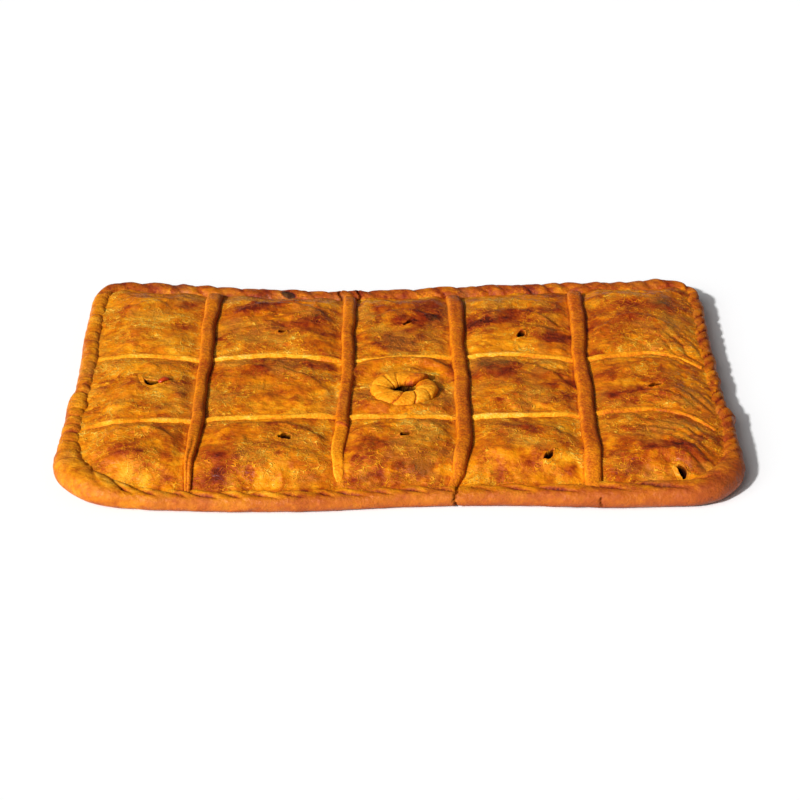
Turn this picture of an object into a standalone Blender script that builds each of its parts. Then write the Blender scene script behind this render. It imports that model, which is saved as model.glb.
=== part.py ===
"""A whole rectangular tray empanada: a flat pie with a twisted rope rim, a lid
bulging between dough strips, and a wound dough ring round the steam vent.

Metres, +Z up. X runs along the long side, -Y is the front edge, and the origin
is on the surface the pie rests on, below the middle of the lid.
"""

import math

import bmesh
import bpy
from mathutils import Vector

# Outside of the rope rim, before the edges' slight bow
HALF_LENGTH = 0.280
HALF_DEPTH = 0.1735
# Outer radius of each corner
CORNER_FRONT_LEFT = 0.060
CORNER_FRONT_RIGHT = 0.049
CORNER_BACK_RIGHT = 0.040
CORNER_BACK_LEFT = 0.032
SKEW = 0.018  # how far each long line runs back towards the right
# Rope: a roll of dough lying on the tray, its crest higher than its outside
ROPE_HALF_WIDTH = 0.0125
ROPE_CENTRE_Z = 0.0092
ROPE_HALF_HEIGHT = 0.0100
ROPE_SIDES = 6
FRONT_SLIM = 0.28  # how much slimmer and lower the rope is along the front than elsewhere
# How much narrower it is along the other sides
RIGHT_SLIM = 0.34
LEFT_SLIM = 0.28
BACK_SLIM = 0.14
STEPS_PER_TURN = 3
CREASE = 0.0024  # depth of the creases between the turns
SLANT = 0.80  # turns that a crease falls back from the outside to the inside
# Length of one turn of the rope on each side
TURN_FRONT = 0.0250
TURN_RIGHT = 0.0140
TURN_BACK = 0.0200
TURN_LEFT = 0.0150
# Lid
LID_LOW = 0.0150  # where it meets the rope
LID_RISE = 0.0090
LID_SLOPE = 0.034  # width of the slope down to the rope
BULGE = 0.0028  # each panel's dome
LID_CELLS = (23, 14)
# Strips
CROSS_U = (-0.1680, -0.0470, 0.0525, 0.1580)
CROSS_SWAY = (-0.0005, -0.0035, 0.0015, 0.0010)
CROSS_HALF_WIDTH = (0.0070, 0.0060, 0.0072, 0.0074)
CROSS_TAPER = (0.45, 0.30, 0.20, 0.10)  # width lost at the front end
LONG_V = (0.0250, -0.0725)
LONG_WAVE = (0.0030, 0.0022)
LONG_HALF_WIDTH = 0.0042
GAP = 0.0003
# Ring round the steam vent
RING_CENTRE = (0.0040, -0.0360)
RING_RADII = (0.0200, 0.0172)
RING_HALF_WIDTH = 0.0084
RING_HALF_HEIGHT = 0.0046
RING_TURNS = 7
# Steam vents: u, v, half length, half width, turn in degrees
VENTS = (
    (-0.209, -0.021, 0.0070, 0.0036, -12.0),
    (-0.103, 0.067, 0.0032, 0.0022, 20.0),
    (-0.093, -0.106, 0.0046, 0.0036, 10.0),
    (0.008, 0.086, 0.0048, 0.0018, 40.0),
    (0.005, -0.107, 0.0046, 0.0020, 25.0),
    (0.107, 0.057, 0.0052, 0.0025, 52.0),
    (0.121, -0.136, 0.0054, 0.0023, 42.0),
    (0.216, -0.032, 0.0052, 0.0020, 15.0),
    (0.227, -0.148, 0.0062, 0.0038, 112.0),
)
VENT_DEPTH = 0.0040


def smooth(low, high, value):
    t = min(max((value - low) / (high - low), 0.0), 1.0)
    return t * t * (3.0 - 2.0 * t)


def bowed(u, v):
    """Hand made: the back edge is drawn in near its middle, the right end lies a little further back, and the left end kicks out at the front."""
    if v > 0:
        edge = 0.1674 + 0.0085 * math.cos(2 * math.pi * (u - 0.235) / 0.50)
    else:
        edge = 0.1755 + 0.0020 * math.cos(2 * math.pi * (u + 0.10) / 0.35)
    y = v * edge / HALF_DEPTH + SKEW * u
    x = u * 1.003
    if u < 0:
        x = u * (0.990 + 0.013 * smooth(0.0, 0.05, -v))
    # the back half is a little shorter at both ends
    x -= 0.0042 * smooth(0.20, 0.26, u) * smooth(-0.075, -0.03, v)
    x -= 0.0030 * smooth(0.20, 0.26, -u) * smooth(0.03, 0.08, v)
    return x, y


def corner_radius(u, v):
    """Outer radius of the corner in this quarter of the plan."""
    if v < 0:
        return CORNER_FRONT_LEFT if u < 0 else CORNER_FRONT_RIGHT
    return CORNER_BACK_LEFT if u < 0 else CORNER_BACK_RIGHT


def rope_scale(u, v):
    """The rope's size against its full size: it is slimmer along the front, fattening towards both corners."""
    slim = (1.0 - smooth(0.19, 0.255, -u)) * (1.0 - 0.6 * smooth(0.05, 0.20, u) - 0.4 * smooth(0.20, 0.26, u))
    return 1.0 - FRONT_SLIM * smooth(0.10, 0.15, -v) * slim


def rope_width(u, v):
    """The rope's width against its full width."""
    right = smooth(0.235, 0.262, u) * (1.0 - smooth(0.105, 0.145, -v))
    left = smooth(0.235, 0.262, -u) * (1.0 - smooth(0.085, 0.13, -v)) * (1.0 - 0.4 * smooth(0.01, 0.04, -v))
    back = smooth(0.130, 0.155, v)
    return rope_scale(u, v) * (1.0 - max(RIGHT_SLIM * right, LEFT_SLIM * left, BACK_SLIM * back))


def inside_rope(u, v):
    """Distance in from the rope's inner edge."""
    inset = 1.75 * ROPE_HALF_WIDTH
    radius = corner_radius(u, v) - inset
    a = abs(u) - (HALF_LENGTH - inset - radius)
    b = abs(v) - (HALF_DEPTH - inset - radius)
    outside = math.hypot(max(a, 0.0), max(b, 0.0)) + min(max(a, b), 0.0)
    return radius - outside + 1.6 * ROPE_HALF_WIDTH * (1.0 - rope_width(u, v))


def dome(value, low, high):
    t = min(max((value - low) / (high - low), 0.0), 1.0)
    return math.sin(math.pi * t) ** 0.7


def lid_height(u, v):
    rise = smooth(0.0, LID_SLOPE, inside_rope(u, v) + 0.004)
    us = (-0.262,) + CROSS_U + (0.262,)
    vs = (-0.156, LONG_V[1], LONG_V[0], 0.156)
    bulge = 0.0
    for i in range(5):
        for j in range(3):
            if us[i] <= u <= us[i + 1] and vs[j] <= v <= vs[j + 1]:
                share = 0.8 + 0.2 * math.cos(2.3 * i + 1.7 * j)
                bulge = share * dome(u, us[i], us[i + 1]) * dome(v, vs[j], vs[j + 1])
    low = LID_LOW * rope_scale(u, v)
    return low + (LID_LOW + LID_RISE - low) * rise + BULGE * bulge


def new_object(name, mesh, collection):
    obj = bpy.data.objects.new(name, mesh)
    collection.objects.link(obj)
    return obj


def finish_mesh(name, bm, collection):
    bmesh.ops.triangulate(bm, faces=bm.faces)  # bent quads would confuse the Booleans
    bmesh.ops.recalc_face_normals(bm, faces=bm.faces)
    mesh = bpy.data.meshes.new(name)
    bm.to_mesh(mesh)
    bm.free()
    return new_object(name, mesh, collection)


def make_lid(name, collection):
    """A grid shaped over the filling, drawn down into a closed slab that runs under the rope."""
    bm = bmesh.new()
    half_u = HALF_LENGTH - ROPE_HALF_WIDTH
    half_v = HALF_DEPTH - ROPE_HALF_WIDTH
    bmesh.ops.create_grid(bm, x_segments=LID_CELLS[0], y_segments=LID_CELLS[1], size=1.0)
    top = list(bm.faces)
    for vert in bm.verts:
        u, v = vert.co.x * half_u, vert.co.y * half_v
        radius = corner_radius(u, v) - ROPE_HALF_WIDTH
        cu = abs(u) - (half_u - radius)
        cv = abs(v) - (half_v - radius)
        if cu > 0 and cv > 0:  # square corner drawn in to a round one
            pull = max(cu, cv) / math.hypot(cu, cv)
            u = math.copysign(half_u - radius + cu * pull, u)
            v = math.copysign(half_v - radius + cv * pull, v)
        x, y = bowed(u, v)
        vert.co = (x, y, lid_height(u, v))
    walls = bmesh.ops.extrude_face_region(bm, geom=top)
    for item in walls["geom"]:
        if isinstance(item, bmesh.types.BMVert):
            item.co.z = -0.003
    return finish_mesh(name, bm, collection)


def rope_spans():
    """The straight and round stretches of the rope's centre line, front side first, with the turns in each."""
    hu = HALF_LENGTH - ROPE_HALF_WIDTH
    hv = HALF_DEPTH - ROPE_HALF_WIDTH
    fl, fr, br, bl = (radius - ROPE_HALF_WIDTH for radius in (
        CORNER_FRONT_LEFT, CORNER_FRONT_RIGHT, CORNER_BACK_RIGHT, CORNER_BACK_LEFT))
    # straight: start and end; round: middle, first angle and radius
    runs = (
        ("line", (-hu + fl, -hv), (hu - fr, -hv), TURN_FRONT),
        ("arc", (hu - fr, -hv + fr), (-90.0, fr), TURN_FRONT * 1.3),
        ("line", (hu, -hv + fr), (hu, hv - br), TURN_RIGHT),
        ("arc", (hu - br, hv - br), (0.0, br), TURN_BACK),
        ("line", (hu - br, hv), (-hu + bl, hv), TURN_BACK),
        ("arc", (-hu + bl, hv - bl), (90.0, bl), TURN_BACK),
        ("line", (-hu, hv - bl), (-hu, -hv + fl), TURN_LEFT),
        ("arc", (-hu + fl, -hv + fl), (180.0, fl), TURN_FRONT * 1.6),
    )
    spans = []
    for kind, a, b, turn in runs:
        length = 0.5 * math.pi * b[1] if kind == "arc" else math.dist(a, b)
        spans.append((kind, a, b, length, length / turn))
    return spans


def rope_point(phase, turns, spans):
    """The centre line's point and outward direction where the rope has made this many turns."""
    left = (phase % turns) * sum(span[4] for span in spans) / turns
    for kind, a, b, length, share in spans:
        if left <= share:
            break
        left -= share
    t = min(left / share, 1.0)
    if kind == "line":
        along = Vector((b[0] - a[0], b[1] - a[1])).normalized()
        return a[0] + (b[0] - a[0]) * t, a[1] + (b[1] - a[1]) * t, Vector((along.y, -along.x))
    angle = math.radians(b[0] + 90.0 * t)
    out = Vector((math.cos(angle), math.sin(angle)))
    return a[0] + b[1] * out.x, a[1] + b[1] * out.y, out


def make_rope(name, collection):
    """A closed roll of overlapping turns, whose edges run along the slanting creases."""
    bm = bmesh.new()
    spans = rope_spans()
    turns = round(sum(span[4] for span in spans))
    rings = []
    for k in range(STEPS_PER_TURN * turns):
        phase = k / STEPS_PER_TURN
        lobe = math.sin(math.pi * (phase % 1.0)) ** 0.7 if phase % 1.0 else 0.0
        ring = []
        for side in range(ROPE_SIDES):
            angle = 2 * math.pi * (side + 0.25) / ROPE_SIDES
            inward = 0.5 * (1.0 - math.cos(angle))
            u, v, out = rope_point(phase - SLANT * inward, turns, spans)
            over = max(math.sin(angle), 0.0) * min(0.35 + 1.3 * inward, 1.0)
            reach = 1.0 - (CREASE / ROPE_HALF_HEIGHT) * over * (1.0 - lobe)
            reach *= 1.0 + 0.035 * math.sin(0.9 * phase) * over
            # the outside stands steeper than a circle, the way dough sets against a tray
            side_share = abs(math.cos(angle)) ** 0.8
            across = math.copysign(ROPE_HALF_WIDTH * side_share, math.cos(angle)) * reach
            up = ROPE_HALF_HEIGHT * math.sin(angle) * reach * 1.08
            width = rope_width(u, v)
            across = across * width + ROPE_HALF_WIDTH * (1.0 - width)
            x, y = bowed(u + out.x * across, v + out.y * across)
            ring.append(bm.verts.new((x, y, (ROPE_CENTRE_Z + up) * rope_scale(u, v))))
        rings.append(ring)
    for near, far in zip(rings, rings[1:] + rings[:1]):
        for i in range(ROPE_SIDES):
            j = (i + 1) % ROPE_SIDES
            bm.faces.new((near[i], near[j], far[j], far[i]))
    return finish_mesh(name, bm, collection)


def band_profile(name, half_width, rise, sink, grow, collection):
    """Half-round section of a strip, flat below, offset outward by grow."""
    w, top, low = half_width + grow, rise + grow, -sink - grow
    shape = ((-0.86 * w, low), (-w, 0.15 * top), (-0.66 * w, 0.80 * top), (0.0, top),
             (0.66 * w, 0.80 * top), (w, 0.15 * top), (0.86 * w, low))
    curve = bpy.data.curves.new(name, "CURVE")
    spline = curve.splines.new("POLY")
    spline.points.add(len(shape) - 1)
    for point, (a, b) in zip(spline.points, shape):
        point.co = (a, b, 0.0, 1.0)
    spline.use_cyclic_u = True
    obj = new_object(name, curve, collection)
    obj.hide_render = True
    return obj


def swept(name, points, radii, profile, collection, cyclic=False):
    """A profile carried along a path, made into a mesh with welded caps."""
    curve = bpy.data.curves.new(name + "_path", "CURVE")
    curve.dimensions = "3D"
    curve.twist_mode = "Z_UP"
    curve.bevel_mode = "OBJECT"
    curve.bevel_object = profile
    curve.use_fill_caps = not cyclic
    spline = curve.splines.new("POLY")
    spline.points.add(len(points) - 1)
    for point, co, radius in zip(spline.points, points, radii):
        point.co = (*co, 1.0)
        point.radius = radius
    spline.use_cyclic_u = cyclic
    path = new_object(name + "_path", curve, collection)
    bpy.context.view_layer.update()
    graph = bpy.context.evaluated_depsgraph_get()
    mesh = bpy.data.meshes.new_from_object(path.evaluated_get(graph))
    bm = bmesh.new()
    bm.from_mesh(mesh)
    bmesh.ops.remove_doubles(bm, verts=bm.verts, dist=0.00001)
    obj = finish_mesh(name, bm, collection)
    obj.matrix_world = path.matrix_world
    bpy.data.objects.remove(path)
    bpy.data.curves.remove(curve)
    bpy.data.meshes.remove(mesh)
    return obj


def cross_strip(i, name, grow, collection):
    """A strip over the lid from the back rope to the front one, narrower at the front."""
    back = HALF_DEPTH - 1.70 * ROPE_HALF_WIDTH + grow
    front = HALF_DEPTH - 1.35 * ROPE_HALF_WIDTH + grow
    steps = 13
    points, radii = [], []
    for k in range(steps + 1):
        v = back - (back + front) * k / steps
        t = k / steps
        u = CROSS_U[i] + CROSS_SWAY[i] * math.sin(math.pi * t * 1.3)
        x, y = bowed(u, v)
        points.append((x, y, lid_height(CROSS_U[i], v)))
        radii.append(1.0 - CROSS_TAPER[i] * smooth(0.70, 1.0, t) + 0.05 * math.sin(17 * t + i))
    profile = band_profile(name + "_section", CROSS_HALF_WIDTH[i], 0.0040, 0.0012, grow, collection)
    obj = swept(name, points, radii, profile, collection)
    bpy.data.objects.remove(profile)
    return obj


def long_strip(i, name, grow, collection):
    """A thin strip from end to end, lying in the valley under the cross strips."""
    reach = HALF_LENGTH - 1.70 * ROPE_HALF_WIDTH + grow
    steps = 20
    points, radii = [], []
    for k in range(steps + 1):
        u = -reach + 2 * reach * k / steps
        v = LONG_V[i] + LONG_WAVE[i] * math.sin(19.0 * u + 2.0 * i)
        v -= 0.011 * smooth(0.225, 0.262, u) + 0.004 * smooth(0.235, 0.262, -u)
        x, y = bowed(u, v)
        points.append((x, y, lid_height(u, LONG_V[i])))
        radii.append(1.0)
    profile = band_profile(name + "_section", LONG_HALF_WIDTH, 0.0014, 0.0014, grow, collection)
    obj = swept(name, points, radii, profile, collection)
    bpy.data.objects.remove(profile)
    return obj


def vent_ring(name, grow, collection):
    """A length of dough wound into a ring, with a turn showing every few centimetres."""
    steps = RING_TURNS * 3
    points, radii = [], []
    for k in range(steps):
        a = 2 * math.pi * k / steps
        lobe = abs(math.sin(0.5 * RING_TURNS * a))
        u = RING_CENTRE[0] + RING_RADII[0] * math.cos(a)
        v = RING_CENTRE[1] + RING_RADII[1] * math.sin(a)
        z = lid_height(*RING_CENTRE) + 0.45 * RING_HALF_HEIGHT
        points.append((*bowed(u, v), z))
        radii.append(0.90 + 0.12 * lobe + 0.06 * math.cos(a - 0.6))
    w, h = RING_HALF_WIDTH, RING_HALF_HEIGHT
    curve = bpy.data.curves.new(name + "_section", "CURVE")
    spline = curve.splines.new("POLY")
    spline.points.add(7)
    for k, point in enumerate(spline.points):
        a = 2 * math.pi * (k + 0.5) / 8
        point.co = ((w + grow) * math.cos(a), (h + grow) * math.sin(a), 0.0, 1.0)
    spline.use_cyclic_u = True
    profile = new_object(name + "_section", curve, collection)
    profile.hide_render = True
    obj = swept(name, points, radii, profile, collection, cyclic=True)
    bpy.data.objects.remove(profile)
    return obj


def vent_cutter(name, u, v, half_length, half_width, turn, depth, collection):
    bm = bmesh.new()
    bmesh.ops.create_uvsphere(bm, u_segments=8, v_segments=5, radius=1.0)
    mesh = bpy.data.meshes.new(name)
    bm.to_mesh(mesh)
    bm.free()
    obj = new_object(name, mesh, collection)
    obj.location = (*bowed(u, v), lid_height(u, v) + 0.0006)
    obj.rotation_euler = (0.0, 0.0, math.radians(turn))
    obj.scale = (half_length * 1.06, half_width * 1.06, depth)
    return obj


def boolean(target, other, operation, tolerant=False):
    modifier = target.modifiers.new(other.name, "BOOLEAN")
    modifier.operation = operation
    modifier.solver = "EXACT"
    modifier.use_hole_tolerant = tolerant
    modifier.object = other
    other.hide_render = True
    other.display_type = "WIRE"


def material(name, colour, roughness):
    made = bpy.data.materials.new(name)
    made.use_nodes = True
    shader = made.node_tree.nodes["Principled BSDF"]
    shader.inputs["Base Color"].default_value = (*colour, 1.0)
    shader.inputs["Roughness"].default_value = roughness
    shader.inputs["Metallic"].default_value = 0.0
    return made


def main():
    for obj in list(bpy.data.objects):
        bpy.data.objects.remove(obj, do_unlink=True)
    parts = bpy.data.collections.new("empanada")
    tools = bpy.data.collections.new("empanada_cutters")
    for collection in (parts, tools):
        bpy.context.scene.collection.children.link(collection)

    pie = make_lid("pie", parts)
    boolean(pie, make_rope("rope", tools), "UNION")
    tray = bmesh.new()
    bmesh.ops.create_cube(tray, size=1.0)
    for vert in tray.verts:
        vert.co = (vert.co.x * 0.8, vert.co.y * 0.6, vert.co.z * 0.03 - 0.015)
    boolean(pie, finish_mesh("tray_plane", tray, tools), "DIFFERENCE")

    golden = (0.60, 0.26, 0.045)
    brown = (0.42, 0.15, 0.03)
    pie.data.materials.append(material("crust", golden, 0.5))
    solids = [pie]

    long_cuts = []
    for i, side in enumerate(("back", "front")):
        name = "long_strip_" + side
        strip = long_strip(i, name, 0.0, parts)
        strip.data.materials.append(material(name, golden, 0.5))
        cut = long_strip(i, name + "_seat", GAP, tools)
        boolean(pie, cut, "DIFFERENCE")
        long_cuts.append(cut)
        solids.append(strip)
    for i in range(4):
        name = "cross_strip_%d" % (i + 1)
        strip = cross_strip(i, name, 0.0, parts)
        strip.data.materials.append(material(name, brown, 0.5))
        for cut in long_cuts:
            boolean(strip, cut, "DIFFERENCE")
        boolean(pie, cross_strip(i, name + "_seat", GAP, tools), "DIFFERENCE")
        solids.append(strip)
    ring = vent_ring("vent_ring", 0.0, parts)
    ring.data.materials.append(material("vent_ring", brown, 0.5))
    boolean(pie, vent_ring("vent_ring_seat", GAP, tools), "DIFFERENCE")
    solids.append(ring)

    boolean(pie, vent_cutter("steam_vent", *RING_CENTRE, 0.0075, 0.0065, 0.0, 0.0050, tools), "DIFFERENCE")
    for k, (u, v, half_length, half_width, turn) in enumerate(VENTS):
        cut = vent_cutter("vent_%d" % (k + 1), u, v, half_length, half_width, turn, VENT_DEPTH, tools)
        boolean(pie, cut, "DIFFERENCE")

    for obj in solids:
        obj.data.shade_smooth()
        obj.data.set_sharp_from_angle(angle=math.radians(50))


main()
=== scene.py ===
"""A whole rectangular tray empanada: lid, rope rim, strips, vent ring and a scrap of filling in one of its vents."""

import math

import bpy
import numpy as np
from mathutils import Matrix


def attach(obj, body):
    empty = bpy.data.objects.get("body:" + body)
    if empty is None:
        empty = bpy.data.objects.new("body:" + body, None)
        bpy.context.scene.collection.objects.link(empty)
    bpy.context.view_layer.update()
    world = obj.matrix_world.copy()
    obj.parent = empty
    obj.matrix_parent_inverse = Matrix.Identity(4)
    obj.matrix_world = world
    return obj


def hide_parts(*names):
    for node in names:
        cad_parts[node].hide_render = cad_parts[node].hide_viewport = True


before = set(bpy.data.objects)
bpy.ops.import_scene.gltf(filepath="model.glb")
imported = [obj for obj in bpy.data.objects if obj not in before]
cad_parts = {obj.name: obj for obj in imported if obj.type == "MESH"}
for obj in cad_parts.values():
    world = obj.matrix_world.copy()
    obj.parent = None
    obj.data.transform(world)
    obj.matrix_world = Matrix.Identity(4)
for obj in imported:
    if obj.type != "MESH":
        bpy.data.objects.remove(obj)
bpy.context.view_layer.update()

# The CAD's own sizes, repeated, in metres
HALF_LENGTH, HALF_DEPTH, SKEW = 0.280, 0.1735, 0.018
CORNERS = (0.060, 0.049, 0.040, 0.032)   # front left, front right, back right, back left
ROPE_HALF_WIDTH, ROPE_CENTRE_Z, ROPE_HALF_HEIGHT = 0.0125, 0.0092, 0.0100
FRONT_SLIM = 0.28
LID_LOW, LID_RISE, LID_SLOPE = 0.0150, 0.0090, 0.034
CROSS_U = (-0.1680, -0.0470, 0.0525, 0.1580)
LONG_V = (0.0250, -0.0725)
RING_CENTRE = (0.0040, -0.0345)


# ---------------------------------------------------------------- helpers

def smooth(low, high, value):
    t = np.clip((value - low) / (high - low), 0.0, 1.0)
    return t * t * (3.0 - 2.0 * t)


def lattice(i, j, k, seed):
    h = (i * 374761393 + j * 668265263 + k * 1274126177 + seed * 97471139) & 0xFFFFFFFF
    h = ((h ^ (h >> 13)) * 1103515245) & 0xFFFFFFFF
    h = ((h ^ (h >> 15)) * 1274126177) & 0xFFFFFFFF
    return ((h ^ (h >> 16)) & 0xFFFFFF) / float(0xFFFFFF) * 2.0 - 1.0


def noise(x, y, z, size, seed):
    """Smooth value noise from -1 to 1 with features about size across."""
    px, py, pz = x / size, y / size, z / size
    ix, iy, iz = np.floor(px).astype(np.int64), np.floor(py).astype(np.int64), np.floor(pz).astype(np.int64)
    fx, fy, fz = px - ix, py - iy, pz - iz
    fx, fy, fz = fx * fx * (3 - 2 * fx), fy * fy * (3 - 2 * fy), fz * fz * (3 - 2 * fz)
    total = 0.0
    for a in (0, 1):
        for b in (0, 1):
            for c in (0, 1):
                w = (fx if a else 1 - fx) * (fy if b else 1 - fy) * (fz if c else 1 - fz)
                total = total + w * lattice(ix + a, iy + b, iz + c, seed)
    return total


def fbm(x, y, z, size, seed, octaves=3, keep=0.5):
    total, weight, amount = 0.0, 1.0, 0.0
    for o in range(octaves):
        total = total + weight * noise(x + 0.37 * o, y - 0.21 * o, z, size / 2.03 ** o, seed + 17 * o)
        amount += weight
        weight *= keep
    return total / amount * 1.6


# How far hand shaping moved the back and the front edge: position along, shift, in millimetres
BACK_SHIFT = ((-250, 3.0), (-234, 1.5), (-201, -1.5), (-169, -2.5), (-105, -3.0), (-73, -3.3), (-40, -4.0), (-8, 1.5),
              (24, 2.5), (56, 3.5), (88, 1.5), (121, -2.0), (153, -1.0), (185, -4.0), (217, -5.0), (249, 3.0))
FRONT_SHIFT = ((-255, 2.0), (-225, 0.0), (-203, -2.0), (-147, -4.0), (-63, -4.2), (-35, -3.5), (-7, -1.8), (21, -1.8),
               (77, -2.2), (105, -3.5), (133, -5.5), (161, -5.5), (189, -4.5), (217, -4.0), (245, -2.5))


def shifted(points, u):
    return sum(table(points, (u + d) * 1000) for d in (-0.02, -0.01, 0.0, 0.01, 0.02)) * 0.0002


def bowed(u, v):
    back = 0.1674 + 0.0085 * np.cos(2 * math.pi * (u - 0.235) / 0.50)
    front = 0.1755 + 0.0020 * np.cos(2 * math.pi * (u + 0.10) / 0.35)
    y = v * np.where(v > 0, back, front) / HALF_DEPTH + SKEW * u
    y = y + smooth(0.11, 0.155, v) * shifted(BACK_SHIFT, u) + smooth(0.11, 0.155, -v) * shifted(FRONT_SHIFT, u)
    x = np.where(u < 0, u * (0.990 + 0.013 * smooth(0.012, 0.028, -v)), u * 1.003)
    x = x - 0.0042 * smooth(0.20, 0.26, u) * smooth(-0.075, -0.03, v) - 0.0030 * smooth(0.20, 0.26, -u) * smooth(0.03, 0.08, v)
    return x, y


def unbowed(x, y):
    """The CAD's own u and v of a point in plan."""
    u = np.where(x > 0, x / 1.003, x / 0.997)
    back = 0.1674 + 0.0085 * np.cos(2 * math.pi * (u - 0.235) / 0.50)
    front = 0.1755 + 0.0020 * np.cos(2 * math.pi * (u + 0.10) / 0.35)
    v = (y - SKEW * u) * HALF_DEPTH
    return u, v / np.where(v > 0, back, front)


def rope_scale(u, v):
    slim = (1 - smooth(0.19, 0.255, -u)) * (1 - 0.6 * smooth(0.05, 0.20, u) - 0.4 * smooth(0.20, 0.26, u))
    return 1 - FRONT_SLIM * smooth(0.10, 0.15, -v) * slim


def corner_radius(u, v):
    return np.where(v < 0, np.where(u < 0, CORNERS[0], CORNERS[1]), np.where(u < 0, CORNERS[3], CORNERS[2]))


def rope_width(u, v):
    """The rope is slimmer along its right, back and left runs than at the front corners."""
    right = smooth(0.235, 0.262, u) * (1 - smooth(0.105, 0.145, -v))
    left = smooth(0.235, 0.262, -u) * (1 - smooth(0.085, 0.13, -v))
    back = smooth(0.130, 0.155, v)
    side = 1 - np.maximum(0.34 * right, np.maximum((0.28 - 0.12 * smooth(0.01, 0.04, -v)) * left, 0.14 * back))
    return rope_scale(u, v) * side


def inside_rope(u, v):
    inset = 1.75 * ROPE_HALF_WIDTH
    radius = corner_radius(u, v) - inset
    a = np.abs(u) - (HALF_LENGTH - inset - radius)
    b = np.abs(v) - (HALF_DEPTH - inset - radius)
    outside = np.hypot(np.maximum(a, 0), np.maximum(b, 0)) + np.minimum(np.maximum(a, b), 0)
    return radius - outside + 1.6 * ROPE_HALF_WIDTH * (1 - rope_width(u, v))


def table(points, value):
    """A smooth curve through a few named stations."""
    xs, ys = zip(*points)
    return np.interp(value, xs, ys)


# Each cross strip: centre line x and half width at stations from front to back, in millimetres
CROSS = (
    ((-180, -165, -106, -22, 60, 130), (-170, -169.5, -167.5, -167, -168, -168), (2.4, 2.9, 5.4, 5.6, 6.4, 7.4)),
    ((-180, -165, -129, -80, -22, 130), (-46, -46, -50, -47.5, -44, -45), (3.4, 3.8, 5.4, 5.8, 5.7, 6.0)),
    ((-184, -170, -150, -120, -77, 18, 130), (35.5, 39, 47.5, 52, 54, 52, 50), (1.8, 3.2, 5.4, 6.6, 7.0, 6.6, 7.4)),
    ((-180, -165, -140, -77, 18, 130), (155, 155.5, 156, 157, 156.5, 160), (6.6, 7.0, 7.2, 7.2, 6.6, 7.2)),
)


def cross_x(i, y):
    ys, xs, _ = CROSS[i]
    return (table(list(zip(ys, xs)), y * 1000) + 0.6 * np.sin(y * 61 + i) + 0.35 * np.sin(y * 143 + 2 * i)) * 0.001


def cross_half(i, y):
    ys, _, ws = CROSS[i]
    return table(list(zip(ys, ws)), y * 1000) * 0.001 * (1 + 0.04 * np.sin(y * 57 + i) + 0.02 * np.sin(y * 131 + 3 * i))


# Each long strip: centre line y at stations from left to right, in millimetres
LONG = (
    ((-262, -215, -172, -157, -106, -52, -41, 18, 44, 61, 96, 150, 165, 211, 239, 262),
     (29, 25, 20, 20.5, 28, 19, 18, 24, 25, 25, 30, 20, 22, 31, 28, 12)),
    ((-262, -172, -160, -51, -37, 47, 62, 150, 167, 203, 229, 250, 264),
     (-81, -79, -77, -72, -74, -74, -73, -70, -66, -61, -65, -74, -92)),
)


def long_y(i, x):
    xs, ys = LONG[i]
    at = x * 1000
    soft = sum(np.interp(at + d, xs, ys) * w for d, w in ((-14, 1), (-7, 2), (0, 3), (7, 2), (14, 1))) / 9.0
    return soft * 0.001


# Vents in the lid: x, y, half length, half width in millimetres, turn in degrees, torn lip height
VENTS = (
    (-209, -25, 7.4, 3.6, -12, 1.6),
    (-103, 61, 3.2, 2.2, 20, 0.9),
    (-93, -110, 4.8, 3.8, 10, 1.3),
    (8, 79, 4.8, 1.8, 40, 1.3),
    (5, -108, 4.6, 2.0, 25, 1.5),
    (107, 57, 5.2, 2.5, 52, 1.9),
    (121, -134, 5.4, 2.3, 42, 1.5),
    (216, -29, 5.4, 2.0, 15, 1.6),
    (227.5, -147.5, 5.6, 3.2, 112, 1.0),
)

VENT_BEND = {0: 0.75, 8: 0.45}   # two vents are crescents

# Folds of the lid: start, middle, end in millimetres, height and half width in millimetres
FOLDS = (
    (-257, -53, -244, -17, -205, -2, 1.5, 5.0),
    (-256, -121, -222, -97, -177, -115, 1.6, 6.0),
    (-260, 68, -245, 101, -205, 112, 1.3, 6.0),
    (-160, -7, -111, 3, -54, -40, 1.2, 6.0),
    (-159, -103, -115, -88, -52, -115, 1.3, 7.0),
    (-38, -103, 1, -80, 46, -103, 1.5, 6.0),
    (58, -112, 104, -94, 147, -112, 1.3, 7.0),
    (170, -157, 203, -127, 245, -141, 1.5, 6.0),
    (63, 77, 108, 101, 153, 62, 1.6, 7.0),
    (-39, 68, 1, 101, 47, 77, 1.4, 7.0),
    (61, -4, 87, 13, 149, -26, 1.3, 6.0),
    (-156, 88, -120, 112, -56, 84, 1.3, 7.0),
    (-250, -140, -222, -130, -180, -150, 1.0, 5.0),
    (168, 60, 205, 90, 250, 60, 1.2, 7.0),
)

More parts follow.
